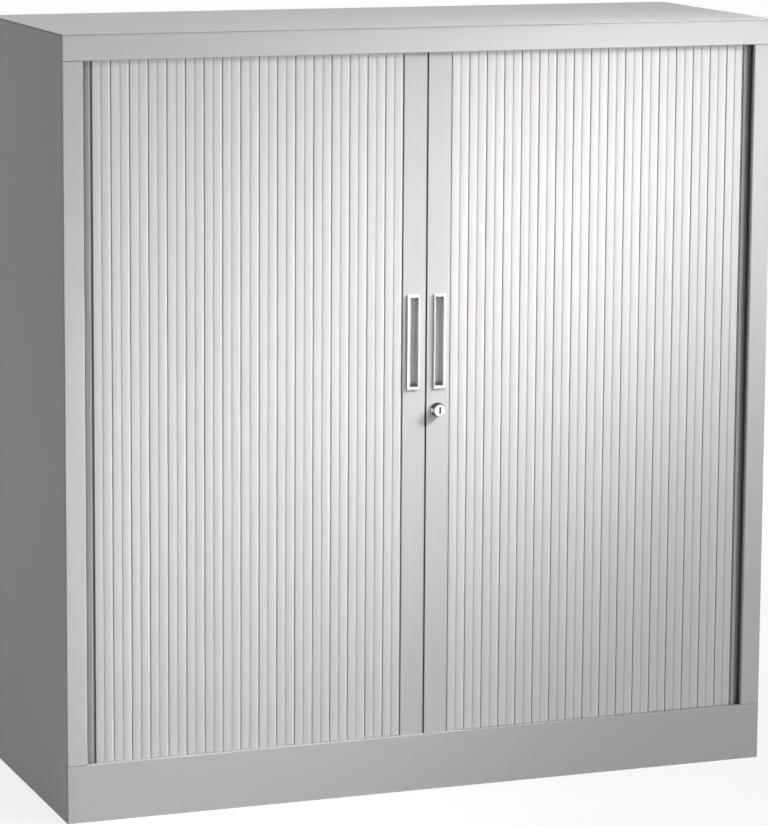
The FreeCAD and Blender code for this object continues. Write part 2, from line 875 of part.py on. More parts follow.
def track(label, z_low, z_high, groove_low, groove_high):
    """Guide moulding in straight runs and quarter turns, with a groove for the guide pins."""
    half = cell("track_width") / 2
    slot = cell("bead_radius") + cell("pin_clearance")
    gap = cell("track_joint")
    pieces = []

    def run(tag, x_low, x_high, y_low, y_high, along):
        bar = box(tag + "_bar", x_low, x_high, y_low, y_high, z_low, z_high)
        wall = half - slot
        if along == "x":
            spans = (x_low - OVERRUN, x_high + OVERRUN, y_low + wall, y_high - wall)
        else:
            spans = (x_low + wall, x_high - wall, y_low - OVERRUN, y_high + OVERRUN)
        groove = box(tag + "_groove", *spans, groove_low, groove_high)
        pieces.append(cut(tag, bar, groove))

    def turn(tag, x, y, start):
        rings = []
        for ring, low, high, reach in (
            ("body", z_low, z_high, half),
            ("groove", groove_low, groove_high, slot),
        ):
            wedges = []
            radii = (cell("corner_radius") + reach, cell("corner_radius") - reach)
            for part, radius in zip(("outer", "inner"), radii):
                wedge = cylinder("%s_%s_%s" % (tag, ring, part), radius, x, y, low, high - low)
                wedge.Angle = 90
                wedge.Placement = Placement(Vector(), Rotation(Vector(0, 0, 1), start))
                for axis, place in (("x", x), ("y", y), ("z", low)):
                    wedge.setExpression("Placement.Base." + axis, as_size(place).text)
                wedges.append(wedge)
            rings.append(cut("%s_%s" % (tag, ring), *wedges))
        pieces.append(cut(tag, *rings))

    run(label + "_front", -arc_x + gap, arc_x - gap, line_front - half, line_front + half, "x")
    for name, side in SIDES:
        low, high = (line_side - half, line_side + half)
        if side < 0:
            low, high = -high, -low
        run("%s_%s_side" % (label, name), low, high, arc_front + gap, arc_back - gap, "y")
        low, high = (pocket_x + gauge * 2, arc_x - gap)
        if side < 0:
            low, high = -high, -low
        run("%s_%s_back" % (label, name), low, high, line_back - half, line_back + half, "x")
        front_turn = 270 if side > 0 else 180
        back_turn = 0 if side > 0 else 90
        turn("%s_%s_front_turn" % (label, name), side * arc_x, arc_front, front_turn)
        turn("%s_%s_back_turn" % (label, name), side * arc_x, arc_back, back_turn)
    return group(label, pieces)


def tracks():
    depth = cell("track_groove_depth")
    low = base_top + cell("track_height")
    track("bottom_track", base_top, low, low - depth, low + OVERRUN)
    high = roof_bottom - cell("track_height")
    track("top_track", high, roof_bottom, high - OVERRUN, high + depth)


# ---------------------------------------------------------------- slats and the way they lie

bead = cell("bead_radius")
socket_inner = bead + cell("bead_clearance")
socket_outer = socket_inner + cell("socket_wall")

# degrees that a socket is open to each side of the next slat's neck
mouth_front = 20
mouth_back = 62


def mouth_outline(x, y, side=1):
    """Wedge that opens a socket towards the next slat, wide enough for the corner's bend."""
    reach = socket_outer * 2
    points = [(as_size(x), as_size(y))]
    for turn in (-mouth_front, mouth_back):
        angle = math.radians(turn)
        points.append((x + side * (reach * math.cos(angle)), y + reach * math.sin(angle)))
    return points


def slat_profile():
    """One slat in its own frame: bead axis at the origin, length along +X, front facing -Y."""
    body = new_body("slat_profile")
    pitch = slat_pitch
    face = -cell("hinge_depth")
    rear = cell("slat_back")
    wall = cell("slat_wall")
    lip = cell("slat_lip")
    half_gap = cell("seam_gap") / 2
    near = socket_outer + cell("socket_room")
    far = pitch - socket_inner - cell("socket_bite")
    half_groove = cell("rib_groove_width") / 2
    middle = pitch / 2
    floor = face + cell("rib_groove_depth")
    shoulder = face + cell("rib_crown")
    chord = middle - half_groove - half_gap
    crown_radius = chord * chord / (cell("rib_crown") * 8) + cell("rib_crown") / 2

    def crowned_rib(start):
        """The corner where a rib begins: its face bulges forward as an arc."""
        centre = (start + chord / 2, face + crown_radius)
        return Corner(start, shoulder, centre, crown_radius)

    shell = [
        crowned_rib(half_gap),
        (middle - half_groove, shoulder),
        (middle - half_groove / 2, floor),
        (middle + half_groove / 2, floor),
        crowned_rib(middle + half_groove),
        (pitch - half_gap, shoulder),
        (pitch - half_gap, face + lip),
        (far, face + lip),
        (far, rear),
        (near, rear),
        (near, face + lip),
        (half_gap, face + lip),
    ]
    pad(body, "slat_shell", "XY_Plane", slat_bottom, slat_top, [shell])
    corners = [(half_gap, shoulder), (pitch - half_gap, shoulder)]
    round_edges(body, "slat_ribs", cell("slat_corner"), upright_at(*corners))
    cells = [
        rectangle(near + wall, middle - wall / 2, floor + wall, rear - wall),
        rectangle(middle + wall / 2, far - wall, floor + wall, rear - wall),
    ]
    whole = (slat_bottom - OVERRUN, slat_top + OVERRUN)
    pocket(body, "slat_cells", "XY_Plane", *whole, cells)
    neck = cell("bead_neck") / 2
    bridge = rectangle(bead / 2, near + wall / 2, -neck, neck)
    pad(body, "slat_neck", "XY_Plane", slat_bottom, slat_top, [bridge])
    pin = cell("guide_pin_length")
    pad(body, "slat_bead", "XY_Plane", slat_bottom - pin, slat_top + pin, circles=[(0, 0, bead)])
    rings = [(pitch, 0, socket_outer), (pitch, 0, socket_inner)]
    pad(body, "slat_socket", "XY_Plane", slat_bottom, slat_top, circles=rings)
    pocket(body, "slat_mouth", "XY_Plane", *whole, [mouth_outline(pitch, as_size(0))])
    return body


def track_line():
    """The right-hand hinge line as (kind, length) runs from the meeting line to the pocket."""
    quarter = math.pi / 2 * cell("corner_radius").number
    return [
        ("front", arc_x.number),
        ("front_turn", quarter),
        ("side", (arc_back - arc_front).number),
        ("back_turn", quarter),
        ("back", 2 * arc_x.number),
    ]


def place_on_line(distance):
    """Point of the hinge line at a distance from the cabinet's middle, right-hand side."""
    radius = cell("corner_radius").number
    for kind, length in track_line():
        if distance <= length or kind == "back":
            break
        distance -= length
    if kind == "front":
        return Vector(distance, line_front.number, 0)
    if kind == "side":
        return Vector(line_side.number, arc_front.number + distance, 0)
    if kind == "back":
        return Vector(arc_x.number - distance, line_back.number, 0)
    angle = distance / radius
    if kind == "front_turn":
        centre = Vector(arc_x.number, arc_front.number, 0)
        return centre + Vector(math.sin(angle), -math.cos(angle), 0) * radius
    centre = Vector(arc_x.number, arc_back.number, 0)
    return centre + Vector(math.cos(angle), math.sin(angle), 0) * radius


def chain(start):
    """Hinge points of a curtain whose first hinge lies at the given place on the front run."""
    pitch = slat_pitch.number
    distances = [start]
    for _ in range(SLATS_PER_DOOR):
        here = place_on_line(distances[-1])
        low, high = distances[-1], distances[-1] + 2 * pitch
        for _ in range(60):
            middle = (low + high) / 2
            if (place_on_line(middle) - here).Length < pitch:
                low = middle
            else:
                high = middle
        distances.append((low + high) / 2)
    return [place_on_line(distance) for distance in distances]


def headings(points):
    """Direction of every slat, in degrees turned from +X towards the back."""
    steps = [after - before for before, after in zip(points, points[1:])]
    return [math.degrees(math.atan2(step.y, step.x)) % 360 for step in steps]


def slat_groups():
    """Slats that share a node: the middle ones never bend, so they are one group."""
    lead_end = LEADING_SLAT_COUNT
    tail_start = SLATS_PER_DOOR - TRAILING_SLAT_COUNT
    leading = [[index] for index in range(lead_end)]
    middle = [list(range(lead_end, tail_start))]
    trailing = [[index] for index in range(tail_start, SLATS_PER_DOOR)]
    return leading + middle + trailing


def curtains(profile):
    """Both curtains, closed: one node for each slat or group of slats that moves as one."""
    doc.recompute()
    points = chain(first_hinge.number)
    turns = headings(points)
    flip = Placement(Vector(), Rotation(Vector(0, 1, 0), 180), Vector(0, 0, middle_height.number))
    for name, side in SIDES:
        for members in slat_groups():
            slats = []
            for index in members:
                slat = profile.Shape.copy()
                slat.Placement = Placement()
                place = Vector(side * points[index].x, points[index].y, 0)
                turned = Placement(place, Rotation(Vector(0, 0, 1), side * turns[index]))
                slat.Placement = turned if side > 0 else turned.multiply(flip)
                slats.append(slat)
            first, last = members[0] + 1, members[-1] + 1
            label = "%s_slat_%02d" % (name, first)
            if last > first:
                label = "%s_slats_%02d_to_%02d" % (name, first, last)
            node = doc.addObject("Part::Feature", label)
            node.Shape = slats[0] if len(slats) == 1 else Part.makeCompound(slats)
            keep(node)


# ---------------------------------------------------------------- lead rails


handle_x = (lead_inner + first_hinge) / 2 + cell("handle_outset")
handle_low = cell("handle_middle_height") - cell("handle_length") / 2
handle_high = cell("handle_middle_height") + cell("handle_length") / 2
cup_width = cell("recess_width") + cell("handle_wall") * 2
cup_length = cell("recess_length") + cell("handle_wall") * 2
web_back = lead_front + cell("lead_wall")
shank_back = web_back + cell("lock_shank_length")
cam_front = shank_back + cell("cam_clearance")
cam_back = cam_front + cell("cam_thickness")
lock_x = handle_x - cell("lock_inset")
lock_height = handle_low - cell("lock_drop")
strike_low = lock_height - cell("strike_below")
strike_high = lock_height + cell("strike_above")


def lead_rail(name, side):
    """Extruded rail at the leading edge of a door, with a socket for the first slat."""
    body = new_body(name + "_lead_rail")
    wall = cell("lead_wall")
    lip = cell("lead_back_lip")
    half_gap = cell("seam_gap") / 2
    outer_wall = first_hinge - socket_outer + cell("socket_bite")
    outline = [
        (lead_inner, lead_front),
        (first_hinge - half_gap, lead_front),
        (first_hinge - half_gap, web_back),
        (outer_wall, web_back),
        (outer_wall, lead_back),
        (outer_wall - lip, lead_back),
        (outer_wall - lip, lead_back - wall),
        (outer_wall - wall, lead_back - wall),
        (outer_wall - wall, web_back),
        (lead_inner + wall, web_back),
        (lead_inner + wall, lead_back - wall),
        (lead_inner + lip, lead_back - wall),
        (lead_inner + lip, lead_back),
        (lead_inner, lead_back),
    ]
    pad(body, name + "_lead_section", "XY_Plane", slat_bottom, slat_top, [across(outline, side)])
    corners = [(side * lead_inner, lead_front), (side * (first_hinge - half_gap), lead_front)]
    round_edges(body, name + "_lead_corners", cell("lead_corner"), upright_at(*corners))
    rings = [(side * first_hinge, line_front, radius) for radius in (socket_outer, socket_inner)]
    pad(body, name + "_lead_socket", "XY_Plane", slat_bottom, slat_top, circles=rings)
    mouth = mouth_outline(side * first_hinge, line_front, side)
    whole = (slat_bottom - OVERRUN, slat_top + OVERRUN)
    pocket(body, name + "_lead_mouth", "XY_Plane", *whole, [mouth])
    half = cup_width / 2 + cell("handle_fit")
    tall = cup_length / 2 + cell("handle_fit")
    middle = cell("handle_middle_height")
    web = (lead_front - OVERRUN, web_back + OVERRUN)
    x = side * handle_x
    window = rectangle(x - half, x + half, middle - tall, middle + tall)
    pocket(body, name + "_handle_window", "XZ_Plane", *web, [window])
    slot_front = lead_front - OVERRUN if side < 0 else cam_front - cell("slot_margin")
    slot_back = cam_back + cell("slot_margin")
    slot = rectangle(slot_front, slot_back, strike_low, strike_high)
    low, high = lead_inner - OVERRUN, lead_inner + wall + fit
    if side < 0:
        low, high = -high, -low
    pocket(body, name + "_hook_slot", "YZ_Plane", low, high, [slot])
    if side > 0:
        hole = [(lock_x, lock_height, cell("lock_shank_radius") + cell("lock_hole_clearance"))]
        pocket(body, "lock_hole", "XZ_Plane", *web, circles=hole)
    return keep(body)


def rail_shoes(name, side):
    """Plastic plugs in both ends of a lead rail, with two pins each that run in the track."""
    play = cell("shoe_fit")
    x_low = lead_inner + cell("lead_wall") + play
    x_high = first_hinge - socket_outer + cell("socket_bite") - cell("lead_wall") - play
    low, high = (x_low, x_high) if side > 0 else (-x_high, -x_low)
    y_low = web_back + play
    y_high = lead_back - cell("lead_wall") - play
    shoes = []
    tall = cell("shoe_height")
    for end, z_low, pin_low in (
        ("lower", slat_bottom, slat_bottom - cell("guide_pin_length")),
        ("upper", slat_top - tall, slat_top - tall),
    ):
        tag = "%s_%s_shoe" % (name, end)
        plug = box(tag + "_plug", low, high, y_low, y_high, z_low, z_low + tall)
        pins = []
        for number, x in enumerate((low + bead * 2, high - bead * 2), start=1):
            length = tall + cell("guide_pin_length")
            pins.append(cylinder("%s_pin_%d" % (tag, number), bead, x, line_front, pin_low, length))
        shoes.append(fuse(tag, plug, *pins))
    return group(name + "_rail_shoes", shoes)


def handle(name, side):
    """Moulded cup handle with a raised rim, set into the rail's window."""
    body = new_body(name + "_handle")
    middle = cell("handle_middle_height")
    x = side * handle_x
    rim_middle = side * (handle_x + cell("rim_outset"))

    def frame(x, width, length):
        return rectangle(x - width / 2, x + width / 2, middle - length / 2, middle + length / 2)

    rim_front = lead_front - cell("handle_proud")
    rim = frame(rim_middle, cell("handle_width"), cell("handle_length"))
    pad(body, name + "_handle_rim", "XZ_Plane", rim_front, lead_front, [rim])
    rim_x = cell("handle_width").number / 2
    near = rim_middle.number

    def corner(middle_point, run):
        return abs(run.y) > 0.99 and abs(abs(middle_point.x - near) - rim_x) < CLOSE

    round_edges(body, name + "_handle_corners", bend, corner)
    cup = frame(x, cup_width, cup_length)
    floor = rim_front + cell("recess_depth")
    pad(body, name + "_handle_cup", "XZ_Plane", lead_front, floor + cell("handle_wall"), [cup])
    hollow = frame(x, cell("recess_width"), cell("recess_length"))
    pocket(body, name + "_handle_recess", "XZ_Plane", rim_front - OVERRUN, floor, [hollow])
    place = rim_front.number

    def front_edge(middle_point, run):
        return abs(middle_point.y - place) < CLOSE

    round_edges(body, name + "_handle_front_edges", cell("handle_wall") / 2, front_edge)
    return keep(body)


# ---------------------------------------------------------------- lock


def lock():
    """Cylinder lock in the right rail: housing, ring nut, plug, hooked cam and its screw."""
    x = lock_x
    z = lock_height
    face = lead_front - cell("lock_proud")
    bore = cell("plug_radius") + cell("plug_clearance")
    base = cell("lock_base_height")
    flange = cylinder("housing_flange", cell("lock_base_radius"), x, lead_front - base, z, base, "y")
    bevel = cell("lock_bevel")
    rim = cell("lock_face_radius")
    lead_in = cylinder("housing_bevel", rim - bevel, x, face, z, bevel, "y", cone_to=rim)
    nose = cylinder(
        "housing_nose", rim, x, face + bevel, z, cell("lock_proud") - base - bevel, "y",
        cone_to=cell("lock_root_radius"),
    )
    root = lead_front - base / 2
    shank = cylinder(
        "housing_shank", cell("lock_shank_radius"), x, root, z, shank_back - root, "y",
    )
    through = shank_back - face + OVERRUN * 2
    hole = cylinder("housing_bore", bore, x, face - OVERRUN, z, through, "y")
    keep(cut("lock_housing", fuse("housing_blank", flange, nose, lead_in, shank), hole))

    nut_height = cell("lock_nut_height")
    hole_radius = cell("lock_shank_radius") + cell("lock_hole_clearance")
    nut = doc.addObject("Part::RegularPolygon", "nut_hexagon")
    nut.Polygon = 6
    nut.setExpression("Circumradius", (cell("lock_shank_radius") + cell("lock_nut_wall")).text)
    prism = doc.addObject("Part::Extrusion", "nut_prism")
    prism.Base = nut
    prism.DirMode = "Custom"
    prism.Dir = Vector(0, 0, 1)
    prism.setExpression("LengthFwd", nut_height.text)
    prism.Solid = True
    prism.Placement = Placement(Vector(), Rotation(Vector(1, 0, 0), -90))
    for axis, place in (("x", x), ("y", web_back), ("z", z)):
        prism.setExpression("Placement.Base." + axis, place.text)
    deep = nut_height + OVERRUN * 2
    thread = cylinder("nut_hole", hole_radius, x, web_back - OVERRUN, z, deep, "y")
    keep(cut("lock_nut", prism, thread))

    half = cell("plug_radius") / 2
    plug_front = face + cell("plug_recess")
    plug_back = (shank_back + cam_front) / 2
    drum = cylinder("plug_drum", cell("plug_radius"), x, plug_front, z, plug_back - plug_front, "y")
    tang = box("plug_tang", x - half, x + half, shank_back, cam_back, z - half, z + half)
    wide = cell("keyway_width") / 2
    high = cell("keyway_height") / 2
    key_end = face + cell("keyway_depth")
    key_low = z + cell("keyway_rise") - high
    key_high = key_low + cell("keyway_height")
    slot = box("keyway_slot", x - wide, x + wide, face - OVERRUN, key_end, key_low, key_high)
    foot = cell("keyway_foot_radius")
    well = cylinder("keyway_foot", foot, x, face - OVERRUN, key_low, key_end - face + OVERRUN, "y")
    keep(cut("lock_plug", fuse("plug_blank", drum, tang), fuse("keyway", slot, well)))
    lock_cam(x, z)
    screw_height = cell("cam_screw_height")
    keep(cylinder("cam_screw", cell("cam_screw_radius"), x, cam_back, z, screw_height, "y"))


def lock_cam(x, z):
    """Flat cam on the plug's square end: an arm down from the hub and a curved hook at its tip."""
    thick = cell("cam_thickness")
    reach = cell("cam_reach")
    hub = cylinder("cam_hub", cell("plug_radius"), x, cam_front, z, thick, "y")
    wide = cell("cam_arm_width") / 2
    arm_low = z - reach + cell("cam_hook_depth") / 2
    arm = box("cam_arm", x - wide, x + wide, cam_front, cam_back, arm_low, z)
    ring = cylinder("cam_ring", reach, x, cam_front, z, thick, "y")
    inner = reach - cell("cam_hook_depth")
    through = thick + OVERRUN * 2
    hollow = cylinder("cam_ring_hollow", inner, x, cam_front - OVERRUN, z, through, "y")
    band = cut("cam_band", ring, hollow)
    hook_end = x - cell("cam_hook_length")
    window_front = cam_front - OVERRUN
    window_back = cam_back + OVERRUN
    hook_low = z - reach - OVERRUN
    window = box("cam_hook_window", hook_end, x + wide, window_front, window_back, hook_low, z)
    hook = doc.addObject("Part::MultiCommon", "cam_hook")
    hook.Shapes = [band, window]
    blank = fuse("cam_blank", hub, arm, hook)
    half = cell("plug_radius") / 2 + cell("cam_square_clearance")
    opening = box("cam_square", x - half, x + half, window_front, window_back, z - half, z + half)
    keep(cut("lock_cam", blank, opening))


# ---------------------------------------------------------------- feet and buffers


def foot_brackets():
    """Folded brackets under the base, each with a threaded collar for a foot stem."""
    brackets = []
    high = base_top - gauge
    low = high - cell("bracket_drop")
    steel = cell("bracket_gauge")
    for name, x, y in foot_places():
        half = cell("bracket_width") / 2
        deep = cell("bracket_length") / 2
        tag = name + "_bracket"
        blocks = [box(tag + "_floor", x - half, x + half, y - deep, y + deep, low, low + steel)]
        for leg, edge in (("left", x - half), ("right", x + half - steel)):
            name_of_leg = "%s_%s_leg" % (tag, leg)
            blocks.append(box(name_of_leg, edge, edge + steel, y - deep, y + deep, low, high))
        collar = cell("collar_height")
        blocks.append(cylinder(tag + "_collar", cell("collar_radius"), x, y, low, collar))
        bore = cell("stem_radius") + cell("stem_clearance")
        hole = cylinder(tag + "_bore", bore, x, y, low - OVERRUN, collar + OVERRUN * 2)
        brackets.append(cut(tag, fuse(tag + "_blank", *blocks), hole))
    return group("foot_brackets", brackets)


def levelling_feet():
    """Swivel pads on the floor and the threaded stems that stand in them."""
    for name, x, y in foot_places():
        tall = cell("pad_height")
        seat = tall - cell("stem_seat")
        wide = cell("pad_radius")
        disc = cylinder(name + "_pad_disc", wide, x, y, 0, tall, cone_to=wide - cell("pad_taper"))
        loose = cell("stem_radius") + cell("stem_clearance")
        bore = cylinder(name + "_pad_bore", loose, x, y, seat, tall)
        keep(cut(name + "_foot_pad", disc, bore))
        rod = cylinder(name + "_stem_rod", cell("stem_radius"), x, y, seat, cell("stem_length"))
        high = seat + cell("stem_length")
        low = high - cell("hex_socket_depth")
        socket = doc.addObject("Part::RegularPolygon", name + "_stem_hexagon")
        socket.Polygon = 6
        socket.setExpression("Circumradius", (cell("hex_socket") / math.sqrt(3)).text)
        for axis, place in (("x", x), ("y", y), ("z", low)):
            socket.setExpression("Placement.Base." + axis, place.text)
        key = doc.addObject("Part::Extrusion", name + "_stem_key")
        key.Base = socket
        key.DirMode = "Custom"
        key.Dir = Vector(0, 0, 1)
        key.setExpression("LengthFwd", (cell("hex_socket_depth") + OVERRUN).text)
        key.Solid = True
        keep(cut(name + "_foot_stem", rod, key))


def door_buffers():
    """Rubber stops that the lead rails meet when the doors are fully open."""
    buffers = []
    rail_edge = first_hinge - socket_outer + cell("socket_bite") + door_travel
    y_low = inner_front - cell("buffer_depth")
    for name, side in SIDES:
        low, high = rail_edge + fit, rail_edge + fit + cell("buffer_width")
        if side < 0:
            low, high = -high, -low
        for end, z_low, z_high in (
            ("lower", plinth_top - cell("buffer_height"), plinth_top),
            ("upper", head_bottom, head_bottom + cell("buffer_height")),
        ):
            tag = "%s_%s_buffer" % (name, end)
            buffers.append(box(tag, low, high, y_low, inner_front, z_low, z_high))
    return group("door_buffers", buffers)


# ---------------------------------------------------------------- build


def build():
    for name, side in SIDES:
        side_panel(name, side)
    plinth_panel()
    head_rail()
    back_panel()
    back_screws()
    base_and_roof()
    floor_and_ceiling()
    top_panel()
    for name, side in SIDES:
        liner(name, side)
    shelf("lower", SLOT_COUNT_TO_LOWER_SHELF)
    shelf("upper", SLOT_COUNT_TO_UPPER_SHELF)
    shelf_clips()
    tracks()
    for name, side in SIDES:
        lead_rail(name, side)
        rail_shoes(name, side)
        handle(name, side)
    lock()
    foot_brackets()
    levelling_feet()
    door_buffers()
    curtains(slat_profile())
    doc.recompute()


def check_and_write():
    """Look at every object's state and every piece's shape, then write the pieces."""
    for thing in doc.Objects:
        if "Invalid" in thing.State or "Error" in thing.State:
            raise ValueError("%s is %s" % (thing.Name, thing.State))
    for node in nodes:
        if node.Shape.isNull() or not node.Shape.isValid() or not node.Shape.Solids:
            raise ValueError("%s has no valid solid" % node.Label)
    os.makedirs("parts", exist_ok=True)
    for node in nodes:
        node.Shape.exportStep("parts/%s.step" % node.Label)
    print("%d pieces, door travel %.1f mm" % (len(nodes), door_travel.number))


build()
check_and_write()
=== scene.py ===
"""Looks of the roll front cabinet: camera, studio and finishes. It adds no pieces to the frame."""
import json
import math

import bpy
from mathutils import Matrix, Vector


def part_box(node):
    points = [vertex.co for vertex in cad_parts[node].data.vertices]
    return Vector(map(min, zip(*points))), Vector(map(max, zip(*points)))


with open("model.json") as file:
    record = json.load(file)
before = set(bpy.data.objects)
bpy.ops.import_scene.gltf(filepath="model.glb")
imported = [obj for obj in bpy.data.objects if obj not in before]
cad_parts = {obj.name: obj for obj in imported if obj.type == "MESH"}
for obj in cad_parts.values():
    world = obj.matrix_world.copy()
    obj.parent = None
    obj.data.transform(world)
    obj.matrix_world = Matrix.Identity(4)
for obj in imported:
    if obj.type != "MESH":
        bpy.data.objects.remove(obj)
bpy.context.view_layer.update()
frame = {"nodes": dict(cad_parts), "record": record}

MM = 0.001

# ---------------------------------------------------------------- camera

PICTURE_WIDTH = 768
PICTURE_HEIGHT = 826
FOCAL_PIXELS = 3756.8
VANISHING_CENTRE = (384.0, 353.0)
CAMERA_PLACE = Vector((-2.1539, -5.7192, 1.6742))
CAMERA_YAW = math.radians(20.694)
CAMERA_DIP = math.radians(9.194)
CAMERA_ROLL = math.radians(0.349)
SENSOR_WIDTH = 36.0


def make_camera():
    """Long lens with a little shift, which keeps the cabinet's upright edges nearly parallel."""
    data = bpy.data.cameras.new("camera")
    data.sensor_fit = "HORIZONTAL"
    data.sensor_width = SENSOR_WIDTH
    data.lens = FOCAL_PIXELS / PICTURE_WIDTH * SENSOR_WIDTH
    data.shift_x = (PICTURE_WIDTH / 2 - VANISHING_CENTRE[0]) / PICTURE_WIDTH
    data.shift_y = (VANISHING_CENTRE[1] - PICTURE_HEIGHT / 2) / PICTURE_WIDTH
    camera = bpy.data.objects.new("camera", data)
    bpy.context.scene.collection.objects.link(camera)
    heading = Matrix.Rotation(-CAMERA_YAW, 4, "Z")
    tilt = Matrix.Rotation(math.pi / 2 - CAMERA_DIP, 4, "X")
    roll = Matrix.Rotation(CAMERA_ROLL, 4, "Z")
    camera.matrix_world = Matrix.Translation(CAMERA_PLACE) @ heading @ tilt @ roll
    bpy.context.scene.camera = camera


# ---------------------------------------------------------------- node helpers


class Shader:
    """A material under construction: adds nodes and links them by name."""

    def __init__(self, name):
        self.material = bpy.data.materials.new(name)
        self.material.use_nodes = True
        self.tree = self.material.node_tree
        self.tree.nodes.clear()
        self.output = self.add("ShaderNodeOutputMaterial")
        self.surface = self.add("ShaderNodeBsdfPrincipled")
        self.link(self.surface, "BSDF", self.output, "Surface")
        self.place = self.add("ShaderNodeTexCoord")

    def add(self, kind, **values):
        node = self.tree.nodes.new(kind)
        for name, value in values.items():
            setattr(node, name, value)
        return node

    def link(self, source, output, target, name):
        self.tree.links.new(source.outputs[output], target.inputs[name])

    def stretched(self, x=1.0, y=1.0, z=1.0):
        """Object coordinates, scaled along each axis."""
        mapping = self.add("ShaderNodeMapping")
        mapping.inputs["Scale"].default_value = (x, y, z)
        self.link(self.place, "Object", mapping, "Vector")
        return mapping

    def noise(self, size, detail=2.0, stretch=(1.0, 1.0, 1.0)):
        """Noise whose blobs are about the given size in metres."""
        node = self.add("ShaderNodeTexNoise")
        node.inputs["Scale"].default_value = 1 / size
        node.inputs["Detail"].default_value = detail
        self.link(self.stretched(*stretch), "Vector", node, "Vector")
        return node

    def spread(self, source, output, low, high):
        """Map a 0 to 1 value to a range."""
        node = self.add("ShaderNodeMapRange")
        node.inputs["To Min"].default_value = low
        node.inputs["To Max"].default_value = high
        self.link(source, output, node, "Value")
        return node

    def tint(self, colour, factors):
        """The colour times each factor in turn, into the base colour."""
        total = factors[0]
        for factor in factors[1:]:
            product = self.add("ShaderNodeMath", operation="MULTIPLY")
            self.tree.links.new(total.outputs[0], product.inputs[0])
            self.tree.links.new(factor.outputs[0], product.inputs[1])
            total = product
        mix = self.add("ShaderNodeVectorMath", operation="SCALE")
        mix.inputs[0].default_value = colour
        self.tree.links.new(total.outputs[0], mix.inputs["Scale"])
        self.link(mix, "Vector", self.surface, "Base Color")

    def axis(self, source, output, name):
        """One component, X, Y or Z, of a vector output."""
        split = self.add("ShaderNodeSeparateXYZ")
        self.link(source, output, split, "Vector")
        return split.outputs[name]

    def ramp(self, value, start, end, low, high):
        """Map a value from start to end onto low to high, held at both ends."""
        node = self.add("ShaderNodeMapRange")
        self.tree.links.new(value, node.inputs["Value"])
        node.inputs["From Min"].default_value = start
        node.inputs["From Max"].default_value = end
        node.inputs["To Min"].default_value = low
        node.inputs["To Max"].default_value = high
        return node

    def sum(self, operation, first, second=None, value=None):
        """One arithmetic step on a value, with another value or with a number."""
        node = self.add("ShaderNodeMath", operation=operation)
        self.tree.links.new(first, node.inputs[0])
        if second is not None:
            self.tree.links.new(second, node.inputs[1])
        if value is not None:
            node.inputs[1].default_value = value
        return node.outputs[0]

    def magnitude(self, value):
        return self.sum("ABSOLUTE", value)

    def slat_phase(self, along):
        """0 at the left edge of each slat and 1 at its right edge, in the closed curtain."""
        side = self.sum("SIGN", along)
        shift = self.sum("MULTIPLY", side, value=FIRST_JOINT)
        start = self.sum("SUBTRACT", along, shift)
        steps = self.sum("DIVIDE", start, value=SLAT_PITCH)
        return self.sum("FRACT", steps)

    def band(self, value, middle, half, outside, inside):
        """One tone within half a width of a place, another outside it."""
        gap = self.magnitude(self.sum("SUBTRACT", value, value=middle))
        return self.ramp(gap, half, half * 1.5, inside, outside)

    def times(self, first, second):
        """Product of two values."""
        return self.sum("MULTIPLY", first, second)

    def blend(self, factor, first, second):
        """The first colour where the factor is 0, the second where it is 1."""
        node = self.add("ShaderNodeMix", data_type="RGBA")
        self.tree.links.new(factor, node.inputs[0])
        node.inputs[6].default_value = first + (1.0,)
        node.inputs[7].default_value = second + (1.0,)
        return node.outputs[2]

    def bump(self, source, depth, strength=1.0, under=None):
        node = self.add("ShaderNodeBump")
        node.inputs["Strength"].default_value = strength
        node.inputs["Distance"].default_value = depth
        self.tree.links.new(source.outputs[0], node.inputs["Height"])
        if under is not None:
            self.link(under, "Normal", node, "Normal")
        self.link(node, "Normal", self.surface, "Normal")
        return node

    def set(self, **values):
        for name, value in values.items():
            self.surface.inputs[name.replace("_", " ")].default_value = value


# ---------------------------------------------------------------- finishes

BODY_GREY = (0.615, 0.595, 0.615)
# Painted shade: the plinth's grey is the body paint darkened for the dimmer light low down.
PLINTH_SHADED_GREY = (0.560, 0.541, 0.560)
RAIL_GREY = (0.590, 0.570, 0.590)
# Painted light: the head rail's grey is the body paint lightened for the brighter light up top.
HEAD_LIT_GREY = (0.645, 0.624, 0.645)
INNER_GREY = (0.515, 0.498, 0.515)
SLAT_GREY = (0.650, 0.629, 0.650)
HANDLE_GREY = (0.82, 0.80, 0.82)
CHROME = (0.80, 0.79, 0.80)
PLUG_BRIGHT = (0.93, 0.92, 0.92)
# Painted shade round the keyway: the half width and half height of its band on the plug's face, and how
# far the band sits above the middle.
KEYWAY_EDGE = (1.3 * MM, 4.4 * MM)
KEYWAY_RISE = 1.0 * MM
# Painted dark reflection and shade on the lock's barrel and flange, with a band at mid-height left bright
# as a painted highlight.
BARREL_PAINTED_SHADE = (0.13, 0.126, 0.13)
BARREL_START = (0.6 * MM, 1.2 * MM)
HIGHLIGHT_BAND_PAINTED = (2.5 * MM, 4.5 * MM)
PLUG_DEPTH = (0.3 * MM, 0.8 * MM)
# Painted shade in the handle's cup: its tone as a share of the rim's, and the share at its two ends.
CUP_PAINTED_SHADE = 0.78
CUP_END_PAINTED_SHADE = 0.3
CUP_DEPTH = (1.2 * MM, 4.0 * MM)
CUP_FOOT = (5.5 * MM, 13.0 * MM)
CUP_HEAD = (10.0 * MM, 5.0 * MM)
# Painted shade in the narrow gaps under the lid's edge, between the meeting rails and at the curtain's
# corner joint.
GAP_PAINTED_SHADE = 0.2
